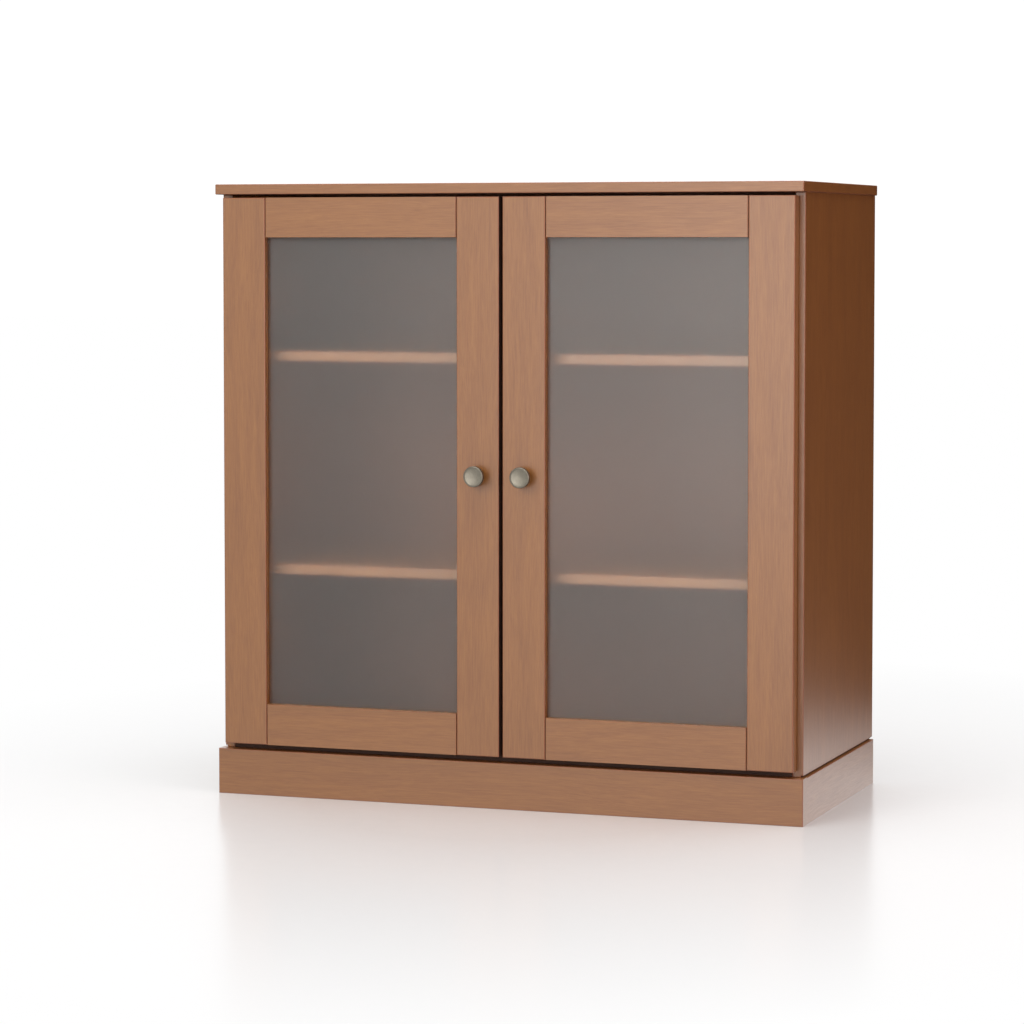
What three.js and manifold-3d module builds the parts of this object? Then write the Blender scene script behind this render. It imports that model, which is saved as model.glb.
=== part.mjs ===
import * as THREE from 'three';
import { mergeVertices } from 'three/addons/utils/BufferGeometryUtils.js';
import Module from 'manifold-3d';

const wasm = await Module();
wasm.setup();

// All sizes are in millimetres. X runs left to right, Y front to back, Z up from the floor.
// While the pieces are made, Y = 0 is the plane of the carcass front edges.

// Overall
const cabinetHeight = 900;
const carcassWidth = 884;
const carcassDepth = 408;
const boardThickness = 15;

// Doors
const doorThickness = 20;
const doorBackGap = 2;
const doorTopGap = 4.8;
const doorBottomGap = 9.3;
const doorSideReveal = 9;
const doorMeetingGap = 5.5;
const hingeStileWidth = 67;
const meetingStileWidth = 64.5;
const topRailWidth = 58;
const bottomRailWidth = 60;
const tenonLength = 14;
const tenonThickness = 4;
const tenonShoulder = 8;
const tenonDepthFromFace = 3;
const mortiseClearance = 0.3;

// Glass and its beads
const glassRecess = 11;
const glassThickness = 4;
const rabbetWidth = 8;
const glassEdgeClearance = 1;
const beadClearance = 0.3;

// Top and plinth
const topSideOverhang = 3.2;
const plinthHeight = 67;
const plinthBoard = 22;
const plinthSideOverhang = 4;
const plinthFrontProud = 16;
const plinthRearSetback = 10;
const shadowGrooveHeight = 2.5;
const shadowGrooveDepth = 3;

// Back and shelves
const backThickness = 6;
const backRabbetWidth = 8;
const backSideClearance = 0.5;
const bottomCompartmentHeight = 243.5;
const middleCompartmentHeight = 300;
const shelfFrontSetback = 20;
const shelfRearClearance = 2;
const shelfSideClearance = 1;

// Shelf pins
const pinRadius = 2.5;
const pinReach = 9;
const pinSeatDepth = 8;
const pinCollarRadius = 4;
const pinCollarThickness = 0.8;
const pinHoleClearance = 0.3;
const pinInset = 50;

// Knobs
const knobRadius = 15;
const knobProjection = 20;
const knobAboveMiddle = 2.4;
const knobRimThickness = 7;
const knobNeckRadius = 5.5;
const knobBaseRadius = 7.5;
const knobBaseThickness = 2;
const knobDishDepth = 1.6;
const knobScrewRadius = 2;
const knobScrewClearance = 0.4;
const knobScrewBite = 8;
const knobScrewHeadRadius = 4;
const knobScrewHeadThickness = 2;

// Concealed hinges, measured in plan from the outer face of the side panel
const hingeEndDistance = 92;
const pivotFromDoorEdge = 5.9;
const pivotDepth = 10;
const cupCentreFromDoorEdge = 20.5;
const cupRadius = 17.5;
const cupWall = 2;
const cupDepth = 11.5;
const cupFloor = 1.5;
const cupHoleClearance = 0.3;
const cupFlangeThickness = 1;
const cupFlangeHalfHeight = 30;
const cupFlangeHalfWidth = 13;
const cupNotchHalfHeight = 5.5;
const cupNotchDepth = 2;
const linkPivotReach = 20;
const linkPivotAngle = 20;
const linkTipReach = 7;
const doorSwing = 95;
const linkLength = 15;
const linkThickness = 2;
const linkHalfHeight = 4;
const linkEyeRadius = 2.3;
const linkPinRadius = 1.1;
const linkPinClearance = 0.3;
const armHalfHeight = 7;
const armSlotClearance = 0.4;
const armNoseRadius = 2.6;
const plateThickness = 3;
const plateHalfHeight = 22;
const plateFront = 30;
const plateWidth = 14;
const plateRibHeight = 5;
const plateRibHalfHeight = 6;
const armRearReach = 62;

// Door bumpers
const bumperRadius = 3;
const bumperThickness = 1.6;
const bumperInset = 24;

// Sizes that follow from the ones above
const halfWidth = carcassWidth / 2;
const innerHalfWidth = halfWidth - boardThickness;
const topUnderside = cabinetHeight - boardThickness;
const bottomPanelTop = plinthHeight + boardThickness;
const backFront = carcassDepth - backThickness;
const doorBack = -doorBackGap;
const doorFront = doorBack - doorThickness;
const doorBottom = plinthHeight + doorBottomGap;
const doorTop = topUnderside - doorTopGap;
const knobHeight = (doorBottom + doorTop) / 2 + knobAboveMiddle;
const doorWidth = halfWidth - doorSideReveal - doorMeetingGap / 2;
const glassFront = doorFront + glassRecess;
const glassBack = glassFront + glassThickness;
const openingBottom = doorBottom + bottomRailWidth;
const openingTop = doorTop - topRailWidth;
const overallFront = doorFront - knobProjection;
const lowerShelfTop = bottomPanelTop + bottomCompartmentHeight + boardThickness;
const upperShelfTop = lowerShelfTop + middleCompartmentHeight + boardThickness;
const shelfTops = { lower: lowerShelfTop, upper: upperShelfTop };
const hingeHeights = { lower: doorBottom + hingeEndDistance, upper: doorTop - hingeEndDistance };

const woodFinish = { color: 0xa0734f, roughness: 0.45, metalness: 0 };
const backFinish = { color: 0x8f684a, roughness: 0.6, metalness: 0 };
const nickelFinish = { color: 0xb8b2a4, roughness: 0.3, metalness: 1 };
const steelFinish = { color: 0xaeb0b2, roughness: 0.35, metalness: 1 };
const glassFinish = { color: 0xd5dad6, roughness: 0.5, metalness: 0, transparent: true, opacity: 0.5 };
const bumperFinish = { color: 0xcfcac0, roughness: 0.7, metalness: 0 };

const assembly = new THREE.Group();
assembly.name = 'storage_cabinet';

function addPiece(name, geometry, finish) {
  const mesh = new THREE.Mesh(geometry, new THREE.MeshStandardMaterial(finish));
  mesh.name = name;
  assembly.add(mesh);
}

function block(x0, x1, y0, y1, z0, z1) {
  const [left, right] = [Math.min(x0, x1), Math.max(x0, x1)];
  const box = new THREE.BoxGeometry(right - left, y1 - y0, z1 - z0);
  return box.translate((left + right) / 2, (y0 + y1) / 2, (z0 + z1) / 2);
}

function rodAlongY(radius, x, y0, y1, z, segments = 24) {
  const rod = new THREE.CylinderGeometry(radius, radius, y1 - y0, segments);
  return rod.translate(0, (y0 + y1) / 2, 0).translate(x, 0, z);
}

function rodAlongX(radius, x0, x1, y, z, segments = 16) {
  const rod = new THREE.CylinderGeometry(radius, radius, Math.abs(x1 - x0), segments);
  return rod.rotateZ(Math.PI / 2).translate((x0 + x1) / 2, y, z);
}

function rodAlongZ(radius, x, y, z0, z1, segments = 24) {
  const rod = new THREE.CylinderGeometry(radius, radius, z1 - z0, segments);
  return rod.rotateX(Math.PI / 2).translate(x, y, (z0 + z1) / 2);
}

function planPrism(points, z0, z1) {
  const shape = new THREE.Shape(points.map(([x, y]) => new THREE.Vector2(x, y)));
  return new THREE.ExtrudeGeometry(shape, { depth: z1 - z0, bevelEnabled: false }).translate(0, 0, z0);
}

function solid(geometry) {
  const bare = geometry.clone();
  bare.deleteAttribute('normal');
  bare.deleteAttribute('uv');
  const welded = mergeVertices(bare, 1e-4);
  return new wasm.Manifold(new wasm.Mesh({
    numProp: 3,
    vertProperties: new Float32Array(welded.attributes.position.array),
    triVerts: new Uint32Array(welded.index.array),
  }));
}

function meshOf(body) {
  const result = body.getMesh();
  const geometry = new THREE.BufferGeometry();
  geometry.setAttribute('position', new THREE.BufferAttribute(new Float32Array(result.vertProperties), 3));
  geometry.setIndex(new THREE.BufferAttribute(new Uint32Array(result.triVerts), 1));
  geometry.computeVertexNormals();
  return geometry;
}

function cutFrom(base, cutters) {
  return cutters.reduce((body, cutter) => body.subtract(solid(cutter)), solid(base));
}

// Turns a distance from the outer face of a side panel into X; side is -1 on the left and 1 on the right.
function fromOuterFace(side, distance) {
  return side * (halfWidth - distance);
}

function pinPlaces() {
  const shelfRear = backFront - shelfRearClearance;
  return [['front', shelfFrontSetback + pinInset], ['rear', shelfRear - pinInset]];
}

function makeSidePanel(sideName, side) {
  const outer = fromOuterFace(side, 0);
  const inner = fromOuterFace(side, boardThickness);
  const board = block(outer, inner, 0, carcassDepth, plinthHeight, topUnderside);
  const rabbetStart = fromOuterFace(side, boardThickness - backRabbetWidth);
  const rabbetEnd = fromOuterFace(side, boardThickness + 1);
  const cutters = [
    block(rabbetStart, rabbetEnd, backFront, carcassDepth + 1, plinthHeight - 1, topUnderside + 1),
    block(
      fromOuterFace(side, -1), fromOuterFace(side, shadowGrooveDepth),
      -1, carcassDepth + 1, plinthHeight - 1, plinthHeight + shadowGrooveHeight,
    ),
  ];
  for (const shelfTop of Object.values(shelfTops)) {
    for (const [, y] of pinPlaces()) {
      const z = shelfTop - boardThickness - pinRadius;
      const holeStart = fromOuterFace(side, boardThickness - pinSeatDepth - pinHoleClearance);
      const holeEnd = fromOuterFace(side, boardThickness + 1);
      cutters.push(rodAlongX(pinRadius + pinHoleClearance, holeStart, holeEnd, y, z));
    }
  }
  addPiece(`${sideName}_side_panel`, meshOf(cutFrom(board, cutters)), woodFinish);
}

function makeShelfPins(sideName, side) {
  for (const [level, shelfTop] of Object.entries(shelfTops)) {
    for (const [place, y] of pinPlaces()) {
      const z = shelfTop - boardThickness - pinRadius;
      const seatEnd = fromOuterFace(side, boardThickness - pinSeatDepth);
      const face = fromOuterFace(side, boardThickness);
      const collarEnd = fromOuterFace(side, boardThickness + pinCollarThickness);
      const tip = fromOuterFace(side, boardThickness + pinReach);
      const collarCut = block(face, collarEnd, y - 9, y + 9, z + pinRadius, z + 9);
      const collar = cutFrom(rodAlongX(pinCollarRadius, face, collarEnd, y, z), [collarCut]);
      const pin = solid(rodAlongX(pinRadius, seatEnd, tip, y, z)).add(collar);
      addPiece(`${level}_shelf_pin_${sideName}_${place}`, meshOf(pin), steelFinish);
    }
  }
}

function makeCarcass() {
  const topHalf = halfWidth + topSideOverhang;
  const top = block(-topHalf, topHalf, doorFront, carcassDepth, topUnderside, cabinetHeight);
  addPiece('top_panel', top, woodFinish);
  const bottom = block(-innerHalfWidth, innerHalfWidth, 0, backFront, plinthHeight, bottomPanelTop);
  addPiece('bottom_panel', bottom, woodFinish);
  const backHalf = innerHalfWidth + backRabbetWidth - backSideClearance;
  const back = block(-backHalf, backHalf, backFront, carcassDepth, plinthHeight, topUnderside);
  addPiece('back_panel', back, backFinish);
  const shelfHalf = innerHalfWidth - shelfSideClearance;
  const shelfRear = backFront - shelfRearClearance;
  for (const [level, shelfTop] of Object.entries(shelfTops)) {
    const under = shelfTop - boardThickness;
    const shelf = block(-shelfHalf, shelfHalf, shelfFrontSetback, shelfRear, under, shelfTop);
    addPiece(`${level}_shelf`, shelf, woodFinish);
  }
}

function makePlinth() {
  const outer = halfWidth + plinthSideOverhang;
  const inner = outer - plinthBoard;
  const frontBack = plinthBoard - plinthFrontProud;
  const rear = carcassDepth - plinthRearSetback;
  const front = block(-outer, outer, -plinthFrontProud, frontBack, 0, plinthHeight);
  addPiece('plinth_front_board', front, woodFinish);
  addPiece('plinth_left_board', block(-outer, -inner, frontBack, rear, 0, plinthHeight), woodFinish);
  addPiece('plinth_right_board', block(inner, outer, frontBack, rear, 0, plinthHeight), woodFinish);
  addPiece('plinth_rear_board', block(-inner, inner, rear - plinthBoard, rear, 0, plinthHeight), woodFinish);
}

// Plan places of one hinge, as [distance from the outer face, Y].
function hingePlan() {
  const pivot = [doorSideReveal + pivotFromDoorEdge, doorBack - pivotDepth];
  const toRadians = Math.PI / 180;
  const armAngle = linkPivotAngle * toRadians;
  const armPivot = [
    pivot[0] + linkPivotReach * Math.cos(armAngle),
    pivot[1] + linkPivotReach * Math.sin(armAngle),
  ];
  const tipAngle = armAngle + (doorSwing / 2) * toRadians;
  const tip = [pivot[0] + linkTipReach * Math.cos(tipAngle), pivot[1] + linkTipReach * Math.sin(tipAngle)];
  return { pivot, armPivot, tip, cupCentre: doorSideReveal + cupCentreFromDoorEdge };
}

function makeHingeCup(name, side, z) {
  const plan = hingePlan();
  const x = fromOuterFace(side, plan.cupCentre);
  const body = solid(rodAlongY(cupRadius, x, doorBack - cupDepth, doorBack, z, 48));
  const flange = solid(block(
    x - cupFlangeHalfWidth, x + cupFlangeHalfWidth,
    doorBack, doorBack + cupFlangeThickness, z - cupFlangeHalfHeight, z + cupFlangeHalfHeight,
  ));
  const floorTop = doorBack - cupDepth + cupFloor;
  const cavity = solid(rodAlongY(cupRadius - cupWall, x, floorTop, doorBack + 9, z, 48));
  const notch = solid(block(
    fromOuterFace(side, doorSideReveal - 1), x,
    doorBack - cupNotchDepth, doorBack + 9, z - cupNotchHalfHeight, z + cupNotchHalfHeight,
  ));
  addPiece(name, meshOf(body.add(flange).subtract(cavity).subtract(notch)), steelFinish);
}

function makeHingeArm(name, side, z) {
  const { armPivot } = hingePlan();
  const [px, py] = armPivot;
  const channelFace = boardThickness + plateThickness + plateRibHeight;
  const outline = [
    [channelFace, armRearReach],
    [channelFace + 7, armRearReach],
    [channelFace + 7, 16],
    [px + armNoseRadius, 5],
    [px + armNoseRadius, py],
    [px - armNoseRadius, py],
    [px - armNoseRadius, 3],
    [channelFace, 10],
  ].map(([distance, y]) => [fromOuterFace(side, distance), y]);
  const nose = rodAlongZ(armNoseRadius, fromOuterFace(side, px), py, z - armHalfHeight, z + armHalfHeight);
  const slotHalf = linkHalfHeight + armSlotClearance;
  const slot = block(
    fromOuterFace(side, px - 9), fromOuterFace(side, px + 9),
    py - 9, py + linkEyeRadius + 1, z - slotHalf, z + slotHalf,
  );
  const pin = rodAlongZ(linkPinRadius, fromOuterFace(side, px), py, z - armHalfHeight, z + armHalfHeight);
  const body = solid(planPrism(outline, z - armHalfHeight, z + armHalfHeight)).add(solid(nose));
  addPiece(name, meshOf(body.subtract(solid(slot)).add(solid(pin))), steelFinish);
}

function makeHingeLink(name, side, z) {
  const { armPivot, tip } = hingePlan();
  const [px, py] = armPivot;
  const angle = Math.atan2(tip[1] - py, tip[0] - px);
  const [ux, uy] = [Math.cos(angle), Math.sin(angle)];
  const half = linkThickness / 2;
  const reach = linkLength - half;
  const bar = [
    [px - half * uy, py + half * ux],
    [px + half * uy, py - half * ux],
    [px + reach * ux + half * uy, py + reach * uy - half * ux],
    [px + reach * ux - half * uy, py + reach * uy + half * ux],
  ].map(([distance, y]) => [fromOuterFace(side, distance), y]);
  const [z0, z1] = [z - linkHalfHeight, z + linkHalfHeight];
  const eye = rodAlongZ(linkEyeRadius, fromOuterFace(side, px), py, z0, z1);
  const end = rodAlongZ(half, fromOuterFace(side, px + reach * ux), py + reach * uy, z0, z1);
  const bore = rodAlongZ(linkPinRadius + linkPinClearance, fromOuterFace(side, px), py, z0 - 1, z1 + 1);
  const body = solid(planPrism(bar, z0, z1)).add(solid(eye)).add(solid(end)).subtract(solid(bore));
  addPiece(name, meshOf(body), steelFinish);
}

function makeHingePlate(name, side, z) {
  const face = fromOuterFace(side, boardThickness);
  const wingTop = fromOuterFace(side, boardThickness + plateThickness);
  const ribTop = fromOuterFace(side, boardThickness + plateThickness + plateRibHeight);
  const wing = block(
    face, wingTop, plateFront, plateFront + plateWidth, z - plateHalfHeight, z + plateHalfHeight,
  );
  const rib = block(
    face, ribTop, plateFront - 8, armRearReach - 4, z - plateRibHalfHeight, z + plateRibHalfHeight,
  );
  addPiece(name, meshOf(solid(wing).add(solid(rib))), steelFinish);
}

function makeHinges(sideName, side) {
  for (const [level, z] of Object.entries(hingeHeights)) {
    makeHingeCup(`${sideName}_${level}_hinge_cup`, side, z);
    makeHingeArm(`${sideName}_${level}_hinge_arm`, side, z);
    makeHingeLink(`${sideName}_${level}_hinge_link`, side, z);
    makeHingePlate(`${sideName}_${level}_hinge_plate`, side, z);
  }
}

function makeDoorFrame(sideName, side) {
  const outer = doorSideReveal;
  const outerStileEnd = outer + hingeStileWidth;
  const meetingEdge = outer + doorWidth;
  const meetingStileStart = meetingEdge - meetingStileWidth;
  const x = (distance) => fromOuterFace(side, distance);
  const rabbet = block(
    x(outerStileEnd - rabbetWidth), x(meetingStileStart + rabbetWidth),
    glassFront, doorBack + 1, openingBottom - rabbetWidth, openingTop + rabbetWidth,
  );
  const tenonFront = doorFront + tenonDepthFromFace;
  const tenonBack = tenonFront + tenonThickness;
  const tenonRanges = [
    [doorBottom + tenonShoulder, openingBottom - tenonShoulder],
    [openingTop + tenonShoulder, doorTop - tenonShoulder],
  ];
  const mortises = [];
  for (const [z0, z1] of tenonRanges) {
    const [m0, m1] = [z0 - mortiseClearance, z1 + mortiseClearance];
    const [f, b] = [tenonFront - mortiseClearance, tenonBack + mortiseClearance];
    const deep = tenonLength + mortiseClearance;
    mortises.push(block(x(outerStileEnd - deep), x(meetingStileStart + deep), f, b, m0, m1));
  }
  const cupX = x(hingePlan().cupCentre);
  const cupHoles = Object.values(hingeHeights).map((z) => rodAlongY(
    cupRadius + cupHoleClearance, cupX, doorBack - cupDepth - cupHoleClearance, doorBack + 1, z, 48,
  ));
  const knobX = x(meetingEdge - meetingStileWidth / 2);
  const screwHole = rodAlongY(
    knobScrewRadius + knobScrewClearance, knobX, doorFront - 1, doorBack + 1, knobHeight, 16,
  );

  const hingeStile = block(x(outer), x(outerStileEnd), doorFront, doorBack, doorBottom, doorTop);
  const hingeStileBody = cutFrom(hingeStile, [rabbet, ...mortises, ...cupHoles]);
  addPiece(`${sideName}_door_hinge_stile`, meshOf(hingeStileBody), woodFinish);
  const meetingStile = block(x(meetingStileStart), x(meetingEdge), doorFront, doorBack, doorBottom, doorTop);
  const meetingStileBody = cutFrom(meetingStile, [rabbet, ...mortises, screwHole]);
  addPiece(`${sideName}_door_meeting_stile`, meshOf(meetingStileBody), woodFinish);

  const rails = { bottom: [doorBottom, openingBottom], top: [openingTop, doorTop] };
  for (const [level, [z0, z1]] of Object.entries(rails)) {
    const stock = block(x(outerStileEnd), x(meetingStileStart), doorFront, doorBack, z0, z1);
    const rail = cutFrom(stock, [rabbet]);
    const [t0, t1] = tenonRanges[level === 'bottom' ? 0 : 1];
    const tenons = block(
      x(outerStileEnd - tenonLength), x(meetingStileStart + tenonLength), tenonFront, tenonBack, t0, t1,
    );
    addPiece(`${sideName}_door_${level}_rail`, meshOf(rail.add(solid(tenons))), woodFinish);
  }
}

function makeGlazing(sideName, side) {
  const x = (distance) => fromOuterFace(side, distance);
  const rabbetOuter = doorSideReveal + hingeStileWidth - rabbetWidth;
  const rabbetInner = doorSideReveal + doorWidth - meetingStileWidth + rabbetWidth;
  const rabbetBottom = openingBottom - rabbetWidth;
  const rabbetTop = openingTop + rabbetWidth;
  const c = glassEdgeClearance;
  const pane = block(
    x(rabbetOuter + c), x(rabbetInner - c), glassFront, glassBack, rabbetBottom + c, rabbetTop - c,
  );
  addPiece(`${sideName}_door_glass`, pane, glassFinish);
  const b = beadClearance;
  const strips = {
    top: [rabbetOuter + b, rabbetInner - b, rabbetTop - rabbetWidth, rabbetTop - b],
    bottom: [rabbetOuter + b, rabbetInner - b, rabbetBottom + b, rabbetBottom + rabbetWidth],
    hinge_side: [rabbetOuter + b, rabbetOuter + rabbetWidth, openingBottom + b, openingTop - b],
    meeting_side: [rabbetInner - rabbetWidth, rabbetInner - b, openingBottom + b, openingTop - b],
  };
  for (const [place, [x0, x1, z0, z1]] of Object.entries(strips)) {
    addPiece(`${sideName}_door_${place}_bead`, block(x(x0), x(x1), glassBack, doorBack, z0, z1), woodFinish);
  }
}

function makeKnob(sideName, side) {
  const x = fromOuterFace(side, doorSideReveal + doorWidth - meetingStileWidth / 2);
  const z = knobHeight;
  const rimBack = knobProjection - knobRimThickness;
  const profile = [
    [0, 0],
    [knobBaseRadius, 0],
    [knobBaseRadius, knobBaseThickness],
    [knobNeckRadius, knobBaseThickness + 1.5],
    [knobNeckRadius, rimBack - 4],
    [knobRadius - 1.2, rimBack],
    [knobRadius, rimBack + 1.2],
    [knobRadius, knobProjection - 0.8],
    [knobRadius - 0.8, knobProjection],
    [0, knobProjection - knobDishDepth],
  ].map(([r, h]) => new THREE.Vector2(r, h));
  const body = new THREE.LatheGeometry(profile, 40).rotateX(Math.PI).translate(x, doorFront, z);
  const boreEnd = doorFront - knobScrewBite - knobScrewClearance;
  const bore = rodAlongY(knobScrewRadius + knobScrewClearance, x, boreEnd, doorFront + 1, z, 16);
  addPiece(`${sideName}_knob`, meshOf(cutFrom(body, [bore])), nickelFinish);
  const shank = solid(rodAlongY(knobScrewRadius, x, doorFront - knobScrewBite, doorBack + 0.5, z, 16));
  const head = solid(rodAlongY(knobScrewHeadRadius, x, doorBack, doorBack + knobScrewHeadThickness, z, 16));
  addPiece(`${sideName}_knob_screw`, meshOf(shank.add(head)), steelFinish);
}

function makeBumper(sideName, side) {
  const x = fromOuterFace(side, doorSideReveal + doorWidth - bumperInset);
  const z = (doorBottom + bottomPanelTop) / 2;
  const bumper = rodAlongY(bumperRadius, x, doorBack, doorBack + bumperThickness, z);
  addPiece(`${sideName}_door_bumper`, bumper, bumperFinish);
}

makeCarcass();
makePlinth();
for (const [sideName, side] of [['left', -1], ['right', 1]]) {
  makeSidePanel(sideName, side);
  makeShelfPins(sideName, side);
  makeDoorFrame(sideName, side);
  makeGlazing(sideName, side);
  makeKnob(sideName, side);
  makeHinges(sideName, side);
  makeBumper(sideName, side);
}

assembly.position.y = -(overallFront + carcassDepth) / 2;
const group = new THREE.Group();
group.add(assembly);

export default group;
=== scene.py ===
"""A free-standing storage cabinet with two frosted-glass doors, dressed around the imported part."""
import math

import bmesh
import bpy
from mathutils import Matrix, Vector


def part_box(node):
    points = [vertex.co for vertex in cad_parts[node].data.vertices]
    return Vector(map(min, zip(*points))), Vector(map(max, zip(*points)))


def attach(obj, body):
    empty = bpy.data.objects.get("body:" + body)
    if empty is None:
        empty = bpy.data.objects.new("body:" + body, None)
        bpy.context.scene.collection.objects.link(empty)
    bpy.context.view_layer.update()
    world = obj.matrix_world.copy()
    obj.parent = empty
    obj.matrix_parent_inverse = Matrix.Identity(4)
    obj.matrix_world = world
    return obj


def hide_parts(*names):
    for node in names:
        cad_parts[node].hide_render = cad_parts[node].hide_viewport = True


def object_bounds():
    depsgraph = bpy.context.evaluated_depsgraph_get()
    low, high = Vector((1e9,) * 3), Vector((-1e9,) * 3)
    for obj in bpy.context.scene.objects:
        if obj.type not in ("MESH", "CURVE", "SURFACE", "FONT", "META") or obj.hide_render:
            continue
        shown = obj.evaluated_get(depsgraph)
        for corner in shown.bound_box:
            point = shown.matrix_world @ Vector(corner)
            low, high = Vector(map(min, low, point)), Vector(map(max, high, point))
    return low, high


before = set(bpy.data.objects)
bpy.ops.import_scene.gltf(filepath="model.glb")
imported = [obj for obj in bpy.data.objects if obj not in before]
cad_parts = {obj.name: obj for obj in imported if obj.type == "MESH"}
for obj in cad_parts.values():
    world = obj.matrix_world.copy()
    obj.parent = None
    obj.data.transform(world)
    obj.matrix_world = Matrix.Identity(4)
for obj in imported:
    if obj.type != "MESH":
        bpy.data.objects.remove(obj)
cad_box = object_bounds()

# All sizes are in metres. X runs left to right, Y front to back, Z up from the floor.
SIDES = {"left": -1, "right": 1}
LEVELS = ("lower", "upper")
AXES = {"x": Vector((1, 0, 0)), "y": Vector((0, 1, 0)), "z": Vector((0, 0, 1))}
TOLERANCE = 0.0002
SHARP_ANGLE = math.radians(30)

# Boards
BOARD_EASING = 0.0011
SLAB_EASING = 0.0013
SHELF_EASING = 0.0016
SHEET_EASING = 0.0004
FRAME_EASING = 0.0014
JOINT_EASING = 0.0008
JOINT_GAP = 0.0009
JOINT_GAP_DEPTH = 0.003
EASING_STEPS = 3
SHADOW_GROOVE_HEIGHT = 0.0025
SHADOW_GROOVE_DEPTH = 0.003
BACK_CLEARANCE = 0.0005
PANE_CLEARANCE = 0.001
BEAD_ROUNDING = 0.002
PANE_ARRIS = 0.0005

# Holes
CUP_RADIUS = 0.0175
CUP_HOLE_RADIUS = 0.0178
CUP_HOLE_DEPTH = 0.0118
KNOB_HOLE_RADIUS = 0.0024
KNOB_HOLE_REACH = 0.03
PIN_HOLE_RADIUS = 0.0028
PIN_HOLE_DEPTH = 0.0083
PIN_COLLAR_RADIUS = 0.004
HOLE_SIDES = 40
SMALL_HOLE_SIDES = 20

# Knobs: radius and distance from the door, from the base to the middle of the dish
KNOB_SIDES = 72
KNOB_PROFILE = (
    (0.0069, 0.0), (0.0075, 0.0004), (0.0075, 0.0017), (0.0071, 0.0021), (0.0060, 0.0028),
    (0.0055, 0.0042), (0.0055, 0.0068), (0.0060, 0.0084), (0.0084, 0.0106), (0.0118, 0.0122),
    (0.0141, 0.0131), (0.0148, 0.0138), (0.0150, 0.0147), (0.0150, 0.0180), (0.0149, 0.0188),
    (0.0145, 0.0195), (0.0139, 0.0199), (0.0134, 0.0200), (0.0130, 0.0198), (0.0126, 0.0191),
    (0.0104, 0.0186), (0.0072, 0.0182), (0.0036, 0.0179), (0.0008, 0.0178),
)

# Screws, nails and bumpers. The profiles give shares of the radius; a screw's heights are in
# metres, and those of nails and bumpers are shares of their height.
SCREW_SIDES = 28
SCREW_HEAD_RADIUS = 0.0034
SCREW_HEAD_HEIGHT = 0.0011
SCREW_SLOT_LENGTH = 0.0038
SCREW_SLOT_WIDTH = 0.0008
SCREW_SLOT_DEPTH = 0.0007
SCREW_PROFILE = ((0.98, 0), (1, 0.0003), (0.94, 0.0006), (0.78, 0.0009), (0.45, SCREW_HEAD_HEIGHT))
NAIL_RADIUS = 0.0021
NAIL_HEIGHT = 0.0005
NAIL_SIDES = 12
NAIL_SPACING = 0.14
NAIL_EDGE = 0.0035
BOTTOM_NAIL_EDGE = 0.0075
NAIL_PROFILE = ((1, 0), (0.9, 0.6), (0.45, 1))
BUMPER_SIDES = 28
BUMPER_PROFILE = ((1, 0), (1, 0.45), (0.9, 0.75), (0.68, 0.94), (0.3, 1))

# Hinges and small fittings
HINGE_CORNER = 0.0002
PIN_CORNER = 0.0003
WELD_REACH = 0.00001
CORNER_ANGLE = math.radians(40)
HINGE_SCREW_INSET = 0.006
PLATE_WING = 0.003
PLATE_SCREW_BACK = 0.015


# ---------------------------------------------------------------- shaping

def take(piece):
    """Makes one piece the only one selected."""
    if bpy.context.object and bpy.context.object.mode != "OBJECT":
        bpy.ops.object.mode_set(mode="OBJECT")
    bpy.ops.object.select_all(action="DESELECT")
    if piece:
        piece.select_set(True)
        bpy.context.view_layer.objects.active = piece


def edit(piece):
    take(piece)
    bpy.ops.object.mode_set(mode="EDIT")


def leave():
    bpy.ops.object.mode_set(mode="OBJECT")


def named(piece, name):
    piece.name = name
    piece.data.name = name
    return piece


def block(name, low, high):
    """A rectangular blank between two corners, ready to be shaped."""
    low, high = Vector(low), Vector(high)
    take(None)
    bpy.ops.mesh.primitive_cube_add(size=1, location=(low + high) / 2, scale=high - low)
    blank = named(bpy.context.object, name)
    bpy.ops.object.transform_apply(location=True, rotation=True, scale=True)
    return blank


def pick_faces(piece, test):
    """Selects the faces whose centre and normal pass a test, in edit mode."""
    bpy.ops.mesh.select_mode(type="FACE")
    bpy.ops.mesh.select_all(action="DESELECT")
    shape = bmesh.from_edit_mesh(piece.data)
    for face in shape.faces:
        face.select_set(bool(test(face.calc_center_median(), face.normal)))
    bmesh.update_edit_mesh(piece.data)


def score(axis, place):
    """Scores the piece being edited right round, square to an axis."""
    bpy.ops.mesh.select_all(action="SELECT")
    bpy.ops.mesh.bisect(plane_co=AXES[axis] * place, plane_no=AXES[axis])


def step_out(piece, test, move):
    """Pulls the faces that pass a test straight out."""
    pick_faces(piece, test)
    bpy.ops.mesh.extrude_region_move(TRANSFORM_OT_translate={"value": move})


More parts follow.
